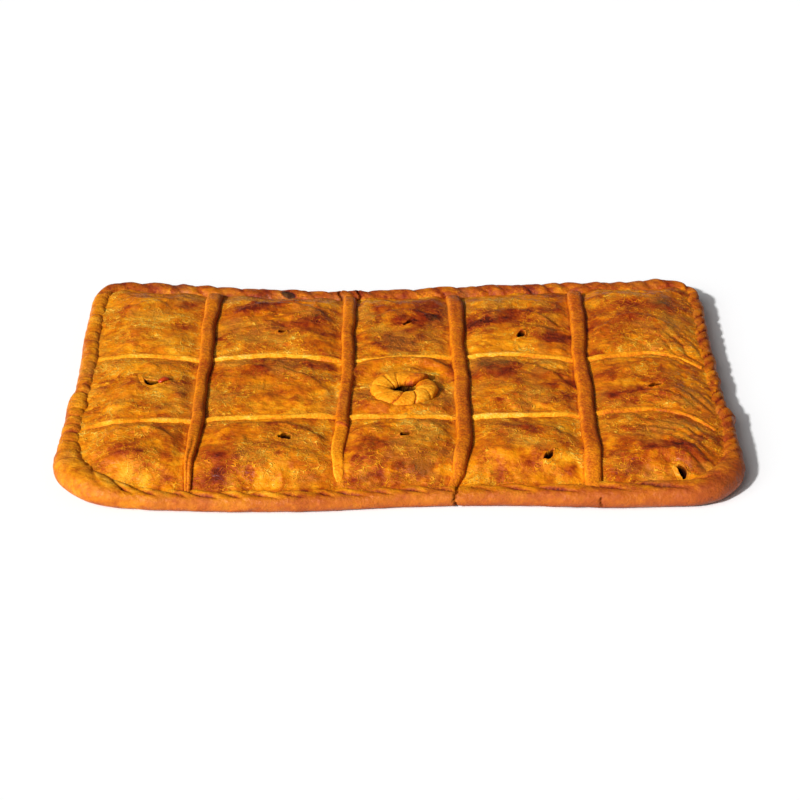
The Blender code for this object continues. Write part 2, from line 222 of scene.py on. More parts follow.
# Where the oven caught the lid: x, y, half length, half depth in millimetres, turn, how far it browned
BROWNED = (
    (-186, 118, 10, 9, 0, 0.42), (-196, 84, 20, 9, -15, 0.20), (-233, 64, 9, 7, 0, 0.26),
    (-125, 112, 16, 9, 10, 0.42), (-149, 68, 13, 7, 0, 0.34), (-76, 80, 26, 18, 0, 0.30),
    (30, 98, 20, 23, 10, 0.52), (-4, 56, 26, 13, 5, 0.44), (77, 88, 22, 14, 20, 0.42),
    (136, 64, 17, 17, -25, 0.60), (84, 3, 29, 16, 0, 0.58), (-108, 13, 28, 7, -8, 0.30),
    (226, 116, 18, 11, 0, 0.26), (192, 68, 22, 12, 0, 0.22), (197, -38, 24, 9, 0, 0.26),
    (220, -117, 17, 9, -10, 0.40), (-221, -134, 22, 6, -18, 0.30), (-146, -145, 13, 13, 0, 0.36),
    (-84, -160, 12, 8, 0, 0.26), (-110, -172, 16, 6, 0, 0.16), (143, -17, 8, 4, -20, 0.44),
    (-8, -125, 26, 22, 0, 0.24), (-18, -152, 12, 10, 0, 0.26), (104, 100, 24, 10, 0, 0.28),
    (186, -135, 16, 16, 0, 0.20), (40, -130, 16, 18, 0, 0.14), (120, -160, 30, 8, 0, 0.10),
    (-105, 86, 14, 12, 0, 0.20), (8, 112, 40, 8, 0, 0.22), (-235, -16, 14, 6, 0, 0.10),
)


def ellipse(x, y, cx, cy, a, b, turn):
    t = math.radians(turn)
    dx, dy = x - cx * 0.001, y - cy * 0.001
    p = (dx * math.cos(t) + dy * math.sin(t)) / (a * 0.001)
    q = (-dx * math.sin(t) + dy * math.cos(t)) / (b * 0.001)
    return p, q


def fold(x, y, spec):
    """A soft crest along an arc, steeper on its lower side."""
    x0, y0, xm, ym, x1, y1, height, width = [s * 0.001 for s in spec]
    t = np.clip((x - x0) / (x1 - x0), -0.2, 1.2)
    tm = (xm - x0) / (x1 - x0)
    bend = (ym - (y0 + (y1 - y0) * tm)) / (tm * (1 - tm))
    d = y - (y0 - 0.003 + (y1 - y0) * t + bend * t * (1 - t)) + 0.002 * noise(x, y, 0 * x, 0.017, 41)
    fade = smooth(-0.08, 0.22, t) * smooth(-0.08, 0.22, 1 - t)
    w = np.where(d > 0, width * 0.45, width * 1.5)
    return 1.55 * height * fade * np.exp(-np.abs(d / w) ** 1.6)


def strip_distance(x, y):
    """Distance from the nearest cross strip's edge and the nearest long strip's middle."""
    cross = np.full_like(x, 1.0)
    for i in range(4):
        cross = np.minimum(cross, np.abs(x - cross_x(i, y)) - cross_half(i, y))
    long_ = np.full_like(x, 1.0)
    for i in range(2):
        long_ = np.minimum(long_, np.abs(y - long_y(i, x)))
    return cross, long_


def lid_base(x, y):
    """The lid's soft form: low at the rope, domed in each panel, before folds and vents."""
    u, v = unbowed(x, y)
    scale = rope_scale(u, v)
    inside = inside_rope(u, v)
    low = LID_LOW * scale + 0.0016 * smooth(0.22, 0.26, np.abs(u)) * smooth(-0.14, -0.11, v)
    rise = smooth(0, LID_SLOPE, inside + 0.006) ** 0.8
    z = low + (LID_LOW + LID_RISE - low) * rise
    cross, long_ = strip_distance(x, y)
    dome = smooth(0.001, 0.032, cross) ** 0.9 * smooth(0.001, 0.026, long_) ** 0.7 * smooth(0.0, 0.035, inside)
    column = sum((x > cross_x(i, y)).astype(float) for i in range(4))
    row = sum((y > long_y(i, x)).astype(float) for i in range(2))
    share = 0.80 + 0.22 * np.cos(2.3 * column + 1.7 * row)
    z = z + 0.0042 * share * dome
    return z - 0.0015 * smooth(0.011, 0.0, cross)


def puff(x, y):
    """The lid stands up in an eye-shaped ridge round the vent ring."""
    cx, cy = 4.0, -24.0
    p, q = ellipse(x, y, cx, cy, 49, 40, -4)
    r = np.sqrt(p * p + q * q + 1e-9)
    angle = np.arctan2(q, p)
    strength = 0.35 + 0.65 * smooth(-0.35, 0.55, np.sin(angle - 0.25))
    ridge = np.exp(-((r - 1.0) / 0.16) ** 2)
    bowl = smooth(1.0, 0.70, r)
    return 0.0036 * ridge * strength - 0.0020 * bowl


def lid_surface(x, y, vents=True):
    """Height, share of painted shade down in the vents and the vent ring's opening, and share of painted shade in the
    end wrinkles' valleys of the lid; its vents are sunk to make room for their torn edges.
    """
    zero = np.zeros_like(x)
    u, v = unbowed(x, y)
    inside = inside_rope(u, v)
    z = lid_base(x, y)
    cross, long_ = strip_distance(x, y)
    clear = smooth(0.0, 0.012, cross) * smooth(0.003, 0.012, long_)
    # the oven's own unevenness
    z = z + clear * (0.0012 * fbm(x, y, zero, 0.036, 3, 2) + 0.00085 * fbm(x, y * 1.25, zero, 0.014, 5, 2))
    z = z + 0.00042 * fbm(x, y * 1.2, zero, 0.0058, 7, 2) * smooth(0.0, 0.01, inside)
    # sharp low ridges where the crust wrinkled as it dried
    ridge = 1 - np.abs(noise(x + 0.004 * noise(x, y, zero, 0.02, 33), y * 1.7, zero, 0.021, 31))
    z = z + clear * 0.0011 * (np.clip(ridge, 0, 1) ** 7) * smooth(-0.3, 0.5, noise(x, y, zero, 0.05, 35))
    ridge = 1 - np.abs(noise(x, y * 1.4, zero, 0.0105, 37))
    z = z + clear * 0.00045 * (np.clip(ridge, 0, 1) ** 6) * smooth(-0.2, 0.6, noise(x, y, zero, 0.03, 39))
    # blisters near the front edge and round the browned places
    blister = np.clip(noise(x, y, zero, 0.0085, 23), 0, 1) ** 1.5
    z = z + 0.0011 * blister * (0.35 + 0.65 * smooth(-0.09, -0.14, y)) * clear
    crease_shade = zero.copy()
    for spec in FOLDS:
        z = z + clear * fold(x, y, spec)
    # long wrinkles at the right end, fanning down to the rope; fainter ones at the left end
    for side, start, drop, amount, size in ((1, 0.172, 0.044, 0.00175, 0.0140), (-1, 0.215, 0.018, 0.00060, 0.0150)):
        reach = np.maximum(side * x - start, 0) / 0.090
        w = y + drop * reach ** 2.4 + 0.0050 * fbm(x, y, zero, 0.045, 11 + side, 2)
        wave = np.abs(np.sin(math.pi * w / size + 2.2 * noise(x * 0.4, y, zero, 0.028, 13)))
        mask = smooth(start - 0.012, start + 0.05, side * x) * smooth(-0.004, 0.006, inside)
        mask = mask * (0.15 + 0.85 * smooth(-0.35, 0.45, noise(x * 0.5, y, zero, 0.024, 19 + side)))
        z = z + amount * mask * (wave ** 0.7 - 0.6)
        # marks the wrinkles' valleys for painted shade
        crease_shade = np.maximum(crease_shade, mask * smooth(0.35, 0.0, wave))
    z = z + puff(x, y)
    # sink the vents and the vent ring's opening
    hole_shade = zero.copy()
    for k, (cx, cy, a, b, turn, lip) in enumerate(VENTS if vents else ()):
        near = (np.abs(x - cx * 0.001) < 0.03) & (np.abs(y - cy * 0.001) < 0.03)
        p, q = ellipse(x[near], y[near], cx, cy, a, b, turn)
        q = q - VENT_BEND.get(k, 0.0) * (p * p - 0.35)
        r = np.sqrt(p * p + q * q)
        z[near] -= 0.0006 * smooth(2.15, 1.75, r) + 0.0095 * smooth(1.45, 1.15, r)
        # the share of painted shade inside each vent
        hole_shade[near] = np.maximum(hole_shade[near], smooth(1.45, 1.20, r))
    p, q = ellipse(x, y, 4.0, -33.0, 9.0, 8.0, 0)
    r = np.sqrt(p * p + q * q)
    z = z - 0.012 * smooth(1.05, 0.75, r)
    # and the share of painted shade inside the vent ring's opening
    hole_shade = np.maximum(hole_shade, smooth(1.35, 0.95, r))
    return z, hole_shade, crease_shade


def browning(x, y):
    """How far the lid browned: 0 is pale gold, 1 nearly black."""
    zero = np.zeros_like(x)
    bake = 0.45 + 0.075 * fbm(x, y, zero, 0.050, 61, 3) + 0.070 * fbm(x, y * 1.3, zero, 0.017, 67, 3)
    bake = bake + 0.035 * smooth(-0.05, 0.20, x) - 0.03 * smooth(0.0, -0.2, x)
    bake = bake + 0.030 * smooth(0.03, 0.12, y)
    warp_x = x + 0.006 * fbm(x, y, zero, 0.020, 71, 2)
    warp_y = y + 0.006 * fbm(x, y, zero, 0.020, 73, 2)
    spots = zero.copy()
    for cx, cy, a, b, turn, amount in BROWNED:
        p, q = ellipse(warp_x, warp_y, cx, cy - (3.5 if cy > -125 else 1.5), a, b, turn)
        spots = np.maximum(spots, amount * np.exp(-(p * p + q * q) ** 1.2 * 0.55))
    spots = spots * (0.72 + 0.34 * fbm(x, y, zero, 0.009, 79, 2))
    # blistered and mottled towards the front
    mottle = smooth(-0.10, -0.15, y)
    bake = bake + mottle * 0.13 * fbm(x, y, zero, 0.0085, 83, 2) - 0.03 * mottle
    bake = bake + 0.86 * spots
    return np.minimum(bake, 0.82 + 0.15 * (bake - 0.82)), spots


# ---------------------------------------------------------------- meshes

def srgb(*colour):
    return tuple((c / 255 / 12.92) if c / 255 <= 0.04045 else ((c / 255 + 0.055) / 1.055) ** 2.4 for c in colour) + (1.0,)


def grid_object(name, points, closed_u=False, closed_v=False, attributes=None, uv=None, flip=False):
    """A mesh from a rows x columns x 3 array, with a UV map named OFBake laid along its grid. uv is not used."""
    rows, cols = points.shape[:2]
    index = np.arange(rows * cols).reshape(rows, cols)
    r = np.arange(rows if closed_u else rows - 1)
    c = np.arange(cols if closed_v else cols - 1)
    r0, c0 = np.meshgrid(r, c, indexing="ij")
    r1, c1 = (r0 + 1) % rows, (c0 + 1) % cols
    quads = np.stack([index[r0, c0], index[r0, c1], index[r1, c1], index[r1, c0]], -1).reshape(-1, 4)
    if flip:
        quads = quads[:, ::-1]
    mesh = bpy.data.meshes.new(name)
    mesh.vertices.add(rows * cols)
    mesh.vertices.foreach_set("co", points.reshape(-1).astype(np.float32))
    mesh.loops.add(quads.size)
    mesh.loops.foreach_set("vertex_index", quads.reshape(-1).astype(np.int32))
    mesh.polygons.add(len(quads))
    mesh.polygons.foreach_set("loop_start", (np.arange(len(quads)) * 4).astype(np.int32))
    mesh.polygons.foreach_set("loop_total", np.full(len(quads), 4, np.int32))
    mesh.update(calc_edges=True)
    mesh.polygons.foreach_set("use_smooth", np.ones(len(quads), bool))
    for key, values in (attributes or {}).items():
        layer = mesh.attributes.new(key, "FLOAT", "POINT")
        layer.data.foreach_set("value", np.broadcast_to(values, (rows, cols)).reshape(-1).astype(np.float32))
    layer = mesh.uv_layers.new(name="OFBake")
    fr = np.stack([r0, r0, r0 + 1, r0 + 1], -1).reshape(-1) / max(rows - (0 if closed_u else 1), 1)
    fc = np.stack([c0, c0 + 1, c0 + 1, c0], -1).reshape(-1) / max(cols - (0 if closed_v else 1), 1)
    if flip:
        fr = fr.reshape(-1, 4)[:, ::-1].reshape(-1)
        fc = fc.reshape(-1, 4)[:, ::-1].reshape(-1)
    coords = np.stack([fr, fc], -1) * 0.996 + 0.002
    layer.data.foreach_set("uv", coords.reshape(-1).astype(np.float32))
    obj = bpy.data.objects.new(name, mesh)
    bpy.context.scene.collection.objects.link(obj)
    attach(obj, "root")
    return obj


def cap_ends(obj, cols):
    """Closes the two ends of a tube whose rings have cols points."""
    import bmesh
    bm = bmesh.new()
    bm.from_mesh(obj.data)
    bm.verts.ensure_lookup_table()
    total = len(bm.verts)
    for ring in (range(cols), range(total - cols, total)):
        verts = [bm.verts[i] for i in ring]
        try:
            bm.faces.new(verts)
        except ValueError:
            pass
    bmesh.ops.recalc_face_normals(bm, faces=bm.faces)
    for face in bm.faces:
        face.smooth = True
    bm.to_mesh(obj.data)
    bm.free()


def make_lid(material):
    half_u = HALF_LENGTH - 0.92 * ROPE_HALF_WIDTH
    half_v = HALF_DEPTH - 0.92 * ROPE_HALF_WIDTH
    rows, cols = 218, 440
    v, u = np.meshgrid(np.linspace(-half_v, half_v, rows), np.linspace(-half_u, half_u, cols), indexing="ij")
    radius = corner_radius(u, v) - 0.92 * ROPE_HALF_WIDTH
    cu, cv = np.abs(u) - (half_u - radius), np.abs(v) - (half_v - radius)
    corner = (cu > 0) & (cv > 0)
    pull = np.where(corner, np.maximum(cu, cv) / np.maximum(np.hypot(cu, cv), 1e-9), 1.0)
    u = np.where(corner, np.sign(u) * (half_u - radius + cu * pull), u)
    v = np.where(corner, np.sign(v) * (half_v - radius + cv * pull), v)
    x, y = bowed(u, v)
    z, hole_shade, crease_shade = lid_surface(x, y)
    bake, spots = browning(x, y)
    cross, long_ = strip_distance(x, y)
    inside = inside_rope(u, v)
    bake = bake - 0.10 * smooth(0.006, 0.0, long_ - 0.002) - 0.05 * smooth(0.004, 0.0, cross)
    # painted shade in the wrinkles' valleys
    bake = bake + 0.10 * crease_shade
    # what stands up browns first
    bake = bake + 0.05 * np.clip((z - lid_base(x, y)) / 0.0015, -1.2, 1.2)
    # painted shade: dark lines beside the long strips, along the cross strips' edges and along the lid's edge at the
    # rope
    line = smooth(0.0022, 0.0008, np.abs(long_ - 0.0042)) * 0.5 + smooth(0.0022, 0.0, np.abs(cross)) * 0.8
    line = np.maximum(line, 0.45 * smooth(0.004, 0.0, np.abs(inside)) * smooth(0.27, 0.20, np.abs(x)))
    bake = bake + 0.05 * smooth(-0.10, -0.14, y) + 0.04 * smooth(-0.02, -0.20, x)
    obj = grid_object("crust_lid", np.stack([x, y, z], -1), attributes={
        "bake": bake, "hole_shade": hole_shade, "crease_shade": np.clip(line + 0.5 * crease_shade, 0, 1), "web": np.clip(1.0 - 0.8 * spots, 0, 1)})
    obj.data.materials.append(material)
    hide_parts("pie")
    return obj


def make_vent(k, material):
    """One steam vent: a torn lip that opens into a deep recess, painted near black inside as painted shade."""
    cx, cy, a, b, turn, lip = VENTS[k]
    radii = np.array([2.40, 2.15, 1.90, 1.68, 1.50, 1.36, 1.24, 1.14, 1.06, 0.99, 0.93, 0.87, 0.80, 0.68, 0.50, 0.28, 0.03])
    R, A = np.meshgrid(radii, np.linspace(0, 2 * math.pi, 76, endpoint=False), indexing="ij")
    torn = smooth(1.9, 1.2, R)
    wobble = 1 + torn * (0.10 * np.sin(2 * A + k) + 0.09 * np.sin(3 * A + 2.1 * k) + 0.06 * np.sin(5 * A + 3 * k) + 0.03 * np.sin(9 * A + k))
    p, q = R * np.cos(A) * wobble, R * np.sin(A) * wobble
    q = q + VENT_BEND.get(k, 0.0) * (p * p - 0.35) * smooth(2.4, 1.9, np.abs(p))
    t = math.radians(turn)
    x = (cx + a * p * math.cos(t) - b * q * math.sin(t)) * 0.001
    y = (cy + a * p * math.sin(t) + b * q * math.cos(t)) * 0.001
    z, _, crease_shade = lid_surface(x, y, vents=False)
    side = 0.45 + 0.55 * smooth(-0.6, 0.8, np.sin(A + t))
    crest = np.exp(-((R - 1.18) / 0.30) ** 2)
    z = z + 0.00022 - 0.0011 * smooth(1.95, 2.35, R) + 0.001 * lip * side * crest * (1 + 0.3 * np.sin(4 * A + k))
    z = z - 0.0075 * smooth(1.04, 0.78, R)
    bake, _ = browning(x, y)
    # the crest's browning varies, and the lip is darker towards the opening as painted shade; below, its inside is
    # marked darker and near black, also painted shade
    bake = bake + 0.05 * crest * np.sin(3 * A + k) + 0.06 * smooth(1.3, 1.05, R)
    obj = grid_object("crust_vent_%d" % (k + 1), np.stack([x, y, z], -1), closed_v=True, flip=True, attributes={
        "bake": bake, "hole_shade": smooth(1.07, 0.92, R), "crease_shade": 0.4 * smooth(1.15, 1.0, R), "web": 0.7 + 0 * x, "salmon": 0 * x})
    obj.data.materials.append(material)
    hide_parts("pie")
    return obj


def rope_layout():
    """Points round the rope's centre line with their outward directions and turn counts."""
    hu, hv = HALF_LENGTH - ROPE_HALF_WIDTH, HALF_DEPTH - ROPE_HALF_WIDTH
    fl, fr, br, bl = [c - ROPE_HALF_WIDTH for c in CORNERS]
    runs = (
        ("line", (-hu + fl, -hv), (hu - fr, -hv)), ("arc", (hu - fr, -hv + fr), -90.0, fr),
        ("line", (hu, -hv + fr), (hu, hv - br)), ("arc", (hu - br, hv - br), 0.0, br),
        ("line", (hu - br, hv), (-hu + bl, hv)), ("arc", (-hu + bl, hv - bl), 90.0, bl),
        ("line", (-hu, hv - bl), (-hu, -hv + fl)), ("arc", (-hu + fl, -hv + fl), 180.0, fl),
    )
    us, vs, ox, oy = [], [], [], []
    step = 0.0013
    for kind, a, b, *rest in runs:
        r = rest[0] if rest else 0.0
        length = 0.5 * math.pi * r if kind == "arc" else math.dist(a, b)
        n = int(round(length / step))
        for k in range(n):
            t = k / n
            if kind == "line":
                du, dv = (b[0] - a[0]) / length, (b[1] - a[1]) / length
                us.append(a[0] + (b[0] - a[0]) * t); vs.append(a[1] + (b[1] - a[1]) * t)
                ox.append(dv); oy.append(-du)
            else:
                w = math.radians(b + 90.0 * t)
                us.append(a[0] + r * math.cos(w)); vs.append(a[1] + r * math.sin(w))
                ox.append(math.cos(w)); oy.append(math.sin(w))
    return [np.array(q) for q in (us, vs, ox, oy)]


def make_rope(material):
    u, v, ox, oy = rope_layout()
    n = len(u)
    zero = np.zeros(n)
    front = smooth(0.125, 0.150, -v) * (oy < -0.2)
    back = smooth(0.125, 0.150, v) * (oy > 0.2)
    left = (ox < -0.5) * (1 - front) * (1 - back)
    right = (ox > 0.5) * (1 - front) * (1 - back)
    # how long one turn is here
    turn = 0.024 * front * (1 + 0.75 * smooth(0.0, 0.18, u)) + 0.0195 * back + 0.0135 * left + 0.0120 * right
    turn = np.maximum(turn, 0.0120)
    turn = turn * (1 + 0.22 * noise(u, v, zero, 0.045, 91))
    step = np.hypot(np.roll(u, -1) - u, np.roll(v, -1) - v)
    phase = np.cumsum(step / turn)
    phase = phase * round(phase[-1]) / phase[-1]
    fl = smooth(0.21, 0.25, -u) * smooth(0.09, 0.14, -v)   # fat smooth corner, front left
    fr = smooth(0.225, 0.26, u) * smooth(0.10, 0.14, -v)   # smooth corner, front right
    upper = left * smooth(-0.03, 0.0, v)                    # softer turns past the join on the left
    depth = (0.0062 * front + 0.0022 * back + 0.0034 * left - 0.0024 * upper + 0.0030 * right) * (1 - 0.75 * fl) * (1 - 0.70 * fr)
    depth = np.maximum(depth, 0.0004) * (1 + 0.35 * noise(u, v, zero, 0.035, 93))
    fat = 1 + 0.05 * noise(u, v, zero, 0.035, 95) + 0.035 * noise(u, v, zero, 0.014, 97)
    fat = fat * (1 + 0.10 * fl + 0.02 * fr)
    scale = rope_scale(u, v)
    sections = 58
    theta = np.linspace(math.radians(-86), math.radians(212), sections)
    T, A = np.meshgrid(theta, np.arange(n), indexing="xy")
    A = A.astype(int)
    col = lambda q: q[:, None]
    inward = 0.5 * (1 - np.cos(T))
    up_share = np.clip(np.sin(T), 0, 1)
    slant = 0.85 + 0.95 * col(front) + 0.55 * col(right) - 1.20 * col(left)
    along = col(phase) + slant * np.clip(inward, 0, 1) + 0.10 * fbm(col(u) + 0 * T, col(v) + 0 * T, T * 0.01, 0.020, 99, 2)
    t = np.mod(along, 1.0)
    which = np.floor(along)
    lobe = np.sin(math.pi * t ** 0.72) ** 0.55
    strength = 0.75 + 0.25 * np.sin(which * 2.4) + 0.18 * np.sin(which * 5.1)
    outer = 0.10 + 0.90 * smooth(0.22, 0.55, inward)       # the front's face is smooth
    side_mask = col(front) * outer + (1 - col(front)) * (0.45 + 0.55 * smooth(0.0, 0.35, inward)) * smooth(-0.35, 0.25, np.sin(T))
    dip = col(depth) * side_mask * strength * (1 - lobe)
    # alternate turns of the front rope reach further over the lid
    reach = col(front) * smooth(0.62, 0.95, inward) * 0.0042 * (lobe - 0.35) * strength
    cosT, sinT = np.cos(T), np.sin(T)
    across = np.sign(cosT) * ROPE_HALF_WIDTH * np.abs(cosT) ** 0.80
    up = np.where(sinT > 0, 1.08 * ROPE_HALF_HEIGHT, 0.92 * ROPE_HALF_HEIGHT) * sinT
    wide = rope_width(u, v)
    across = across * col(wide) * col(fat) + ROPE_HALF_WIDTH * (1 - col(wide))
    height = (ROPE_CENTRE_Z * 1.0 + up * np.where(sinT > 0, col(fat), 1.0)) * col(scale)
    across = across - cosT * dip - reach
    height = height - np.maximum(sinT, -0.1) * dip
    # small unevenness of rolled dough
    lump = (0.00045 + 0.0004 * col(right) + 0.0003 * col(back)) * fbm(col(u) + across, col(v) + T * 0.01, height, 0.010, 101, 2) + 0.00016 * noise(col(u) + across, col(v) + T * 0.01, height, 0.0035, 103)
    across = across + cosT * lump
    height = height + sinT * lump * (sinT > -0.2)
    # fingerprints of the twist: finer cross wrinkles at the two ends
    fine = np.abs(np.sin(math.pi * along * 3.0)) ** 0.6
    across = across - cosT * 0.00040 * (1 - fine) * (col(left) + col(right))
    height = height - sinT * 0.00040 * (1 - fine) * (col(left) + col(right)) * (sinT > 0)
    # the seam in the front run and its neighbours
    cracks = np.zeros_like(T)
    for at, low, high, wide, deep in ((0.045, 0.02, 1.0, 0.0010, 0.0030), (0.1605, -0.2, 0.07, 0.0008, 0.0012)):
        zig = 0.0012 * np.sin(T * 2.1 + 1.0) + 0.0004 * np.sin(T * 9.0)
        hit = np.exp(-((col(u) + zig - at) / wide) ** 2) * col(front) * smooth(low - 0.05, low, inward) * smooth(high + 0.02, high, inward)
        across, height = across - cosT * deep * hit, height - sinT * deep * hit
        cracks = np.maximum(cracks, hit)
    for at in (-0.054, -0.037):
        zig = 0.0015 * np.sin(T * 4.0 + at * 90)
        hit = np.exp(-((col(u) + zig - at) / 0.0010) ** 2) * col(back) * smooth(0.15, 0.3, inward)
        across, height = across - cosT * 0.0026 * hit, height - sinT * 0.0026 * hit
        cracks = np.maximum(cracks, hit)
    lumpy = smooth(-0.060, -0.052, u) * smooth(-0.032, -0.040, u) * back
    height = height + col(lumpy) * 0.0012 * up_share
    # crumpled turn-in on the left, where one length of rope ends and the next begins
    crumple = np.exp(-((v + 0.010) / 0.012) ** 2) * left
    rough = 0.0016 * fbm(col(u) + across, col(v) + across * 0.5, height, 0.0065, 107, 2)
    across, height = across + col(crumple) * rough * up_share, height + col(crumple) * rough * up_share
    # a knob of dough on the right run
    knob = np.exp(-((v + 0.060) / 0.006) ** 2) * right
    across = across + col(knob) * 0.0022 * np.clip(cosT, 0, 1)
    height = height + col(knob) * 0.0018 * up_share
    pu, pv = col(u) + col(ox) * across, col(v) + col(oy) * across
    x, y = bowed(pu, pv)
    height = np.maximum(height, 0.0)
    bake = 0.47 + 0.05 * fbm(x, y, height, 0.030, 111, 2) + 0.05 * fbm(x, y, height, 0.009, 113, 2)
    # along the front run, darker towards the right and darker still on the right corner's outer face, lighter at the
    # left end: painted shade and painted light, beside each run's own tone
    bake = bake + 0.02 * col(front) + 0.10 * col(smooth(0.0, 0.26, u) * front) + 0.05 * col(back) + 0.03 * col(right)
    bake = bake + 0.07 * col(front) * smooth(0.75, 0.2, inward) + 0.13 * col(right) + 0.14 * col(back) + 0.03 * col(left)
    bake = bake - 0.03 * col(fl) - 0.06 * col(smooth(0.05, 0.22, -u) * front)
    bake = bake + 0.16 * col(fr) * smooth(0.6, 0.1, inward)
    # painted shade in the twist's grooves and painted highlight on its crests
    bake = bake + 0.17 * smooth(0.2, 1.0, dip / 0.0030) - 0.04 * smooth(0.75, 1.0, lobe) * side_mask
    bake = bake + 0.10 * col(crumple) * up_share
    bake = bake + 0.16 * smooth(0.25, -0.9, sinT)          # the tray browned the bottom edge
    burnt = np.exp(-((x + 0.101 - 0.006 * (T - 1.95)) / 0.0058) ** 2 - ((T - 1.95) / 0.42) ** 2) * col(back)
    bake = bake + 1.5 * smooth(0.2, 0.8, burnt)
    salmon = np.clip(col(front) * smooth(0.45, 0.05, inward) + 0.35 * col(fr), 0, 1) * smooth(-0.26, -0.16, col(u) + 0 * T)
    # marks the grooves and cracks for painted shade
    crease_shade = np.clip(smooth(0.35, 1.0, dip / 0.0022) * 0.8 + cracks, 0, 1)
    points = np.stack([x, y, height], -1)
    # the cracks are also painted near black inside as painted shade
    obj = grid_object("crust_rope", points, closed_u=True, attributes={
        "bake": bake, "hole_shade": 0.9 * cracks, "crease_shade": crease_shade, "web": 0.25 + 0.5 * inward, "salmon": salmon})
    obj.data.materials.append(material)
    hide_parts("pie")
    return obj, points


def make_underside(material, rope_points):
    """The flat base the tray gave it, out to the rope's lower edge."""
    edge = rope_points[:, 0, :2]
    rings = []
    for share, lift in ((1.0, 0.0004), (0.985, 0.0), (0.9, 0.0), (0.75, 0.0), (0.5, 0.0), (0.25, 0.0), (0.02, 0.0)):
        ring = np.empty((len(edge), 3))
        ring[:, :2] = edge * share
        ring[:, 2] = lift
        rings.append(ring)
    points = np.stack(rings, 0)
    x, y = points[..., 0], points[..., 1]
    bake = 0.58 + 0.12 * fbm(x, y, 0 * x, 0.04, 131, 3)
    obj = grid_object("crust_base", points, closed_v=True, attributes={
        "bake": bake, "hole_shade": 0 * x, "crease_shade": 0 * x, "web": 0 * x, "salmon": 0 * x}, flip=False)
    cap_ends(obj, len(edge))
    obj.data.materials.append(material)
    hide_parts("pie")
    return obj


def band(name, centre, side, half, height, sink, q_steps, attributes, material, node):
    """A closed half-round strip along centre (n x 3), across side (n x 2), of half width half (n) and height (n x q)."""
    n = len(centre)
    q = np.linspace(-1, 1, q_steps)
    under = np.array([0.6, 0.0, -0.6])
    top = np.stack([centre[:, None, 0] + side[:, None, 0] * half[:, None] * q,
                    centre[:, None, 1] + side[:, None, 1] * half[:, None] * q,
                    height], -1)
    low = np.stack([centre[:, None, 0] + side[:, None, 0] * half[:, None] * under,
                    centre[:, None, 1] + side[:, None, 1] * half[:, None] * under,
                    np.repeat((centre[:, 2] - sink)[:, None], 3, 1)], -1)
    points = np.concatenate([top, low], 1)
    attrs = {}
    for key, values in attributes.items():
        values = np.broadcast_to(values, (n, q_steps))
        attrs[key] = np.concatenate([values, np.repeat(values.mean(1, keepdims=True), 3, 1)], 1)
    obj = grid_object(name, points, closed_v=True, attributes=attrs)
    cap_ends(obj, q_steps + 3)
    obj.data.materials.append(material)
    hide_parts(node)
    return obj


def make_cross(i, material):
    n, steps = 260, 21
    back = 0.1490 + (-0.002, -0.007, -0.003, -0.001)[i]
    front = -0.1690 - (0.004, 0.003, 0.0045, 0.001)[i]
    y = np.linspace(back, front, n)
    if i == 1:
        y = np.linspace(back, -0.158, n)
    x = cross_x(i, y)
    half = cross_half(i, y)
    t = np.linspace(0, 1, n)
    end = smooth(0, 0.02, t) * smooth(0, 0.035, 1 - t)
    half = half * (0.5 + 0.5 * end)
    base = lid_base(x, y)
    q = np.linspace(-1, 1, steps)
    X, Y = x[:, None] + half[:, None] * q, np.repeat(y[:, None], steps, 1)
    tall = 0.0054 * np.ones(n)
    if i == 0:
        tall = tall * (1 - 0.35 * smooth(-0.10, -0.16, y))
    if i == 1:
        tall = tall * (1 - 0.45 * smooth(-0.087, -0.092, y) - 0.40 * smooth(-0.10, -0.155, y))
    if i == 2:
        tall = tall * (1 - 0.35 * smooth(-0.15, -0.17, y))
    tall = tall * (0.25 + 0.75 * end)
    profile = (1 - np.abs(q) ** 3.2) ** 0.55
    lean = -0.10 * q  # a little higher on the left
    z = base[:, None] + tall[:, None] * profile * (1 + lean) - 0.0009 * (np.abs(q) > 0.999)
    z = z + 0.00028 * fbm(X, Y, 0 * X, 0.018, 141 + i, 2) * profile + 0.00016 * noise(X, Y, 0 * X, 0.004, 151 + i) * profile
    if i == 0:  # twisted once near its front end
        z = z - 0.0008 * np.exp(-((q * 1.0 - 8 * (Y + 0.135)) / 0.25) ** 2) * smooth(-0.10, -0.12, Y) * profile
    bake = 0.535 + 0.04 * fbm(X, Y, 0 * X, 0.034, 161 + i, 2) + 0.03 * noise(X, Y, 0 * X, 0.005, 171 + i)
    # darker towards both edges and lighter on the left flank: painted shade and painted light
    bake = bake + (0.0, 0.0, 0.03, 0.04)[i] + 0.05 * (np.abs(q) ** 3) - 0.17 * smooth(-0.50, -0.95, q) + 0.03
    bake = bake - 0.07 * smooth(-0.10, -0.15, Y) - (0.10 * smooth(-0.085, -0.095, Y) if i == 1 else 0.0)
    if i == 1:  # pressed flat past a crease
        # the dark line along the fold is painted shade
        bake = bake + 0.25 * np.exp(-((Y + 0.0885 + 0.002 * q) / 0.0011) ** 2)
    # marks the strip's edges for painted shade
    crease_shade = 0.6 * np.abs(q) ** 8
    return band("strip_across_%d" % (i + 1), np.stack([x, y, base], -1), np.stack([np.ones(n), 0 * n * x], -1), half, z,
                0.0016, steps, {"bake": bake, "hole_shade": 0 * X, "crease_shade": crease_shade, "web": 0.15 + 0 * X, "salmon": 0 * X},
                material, "cross_strip_%d" % (i + 1))


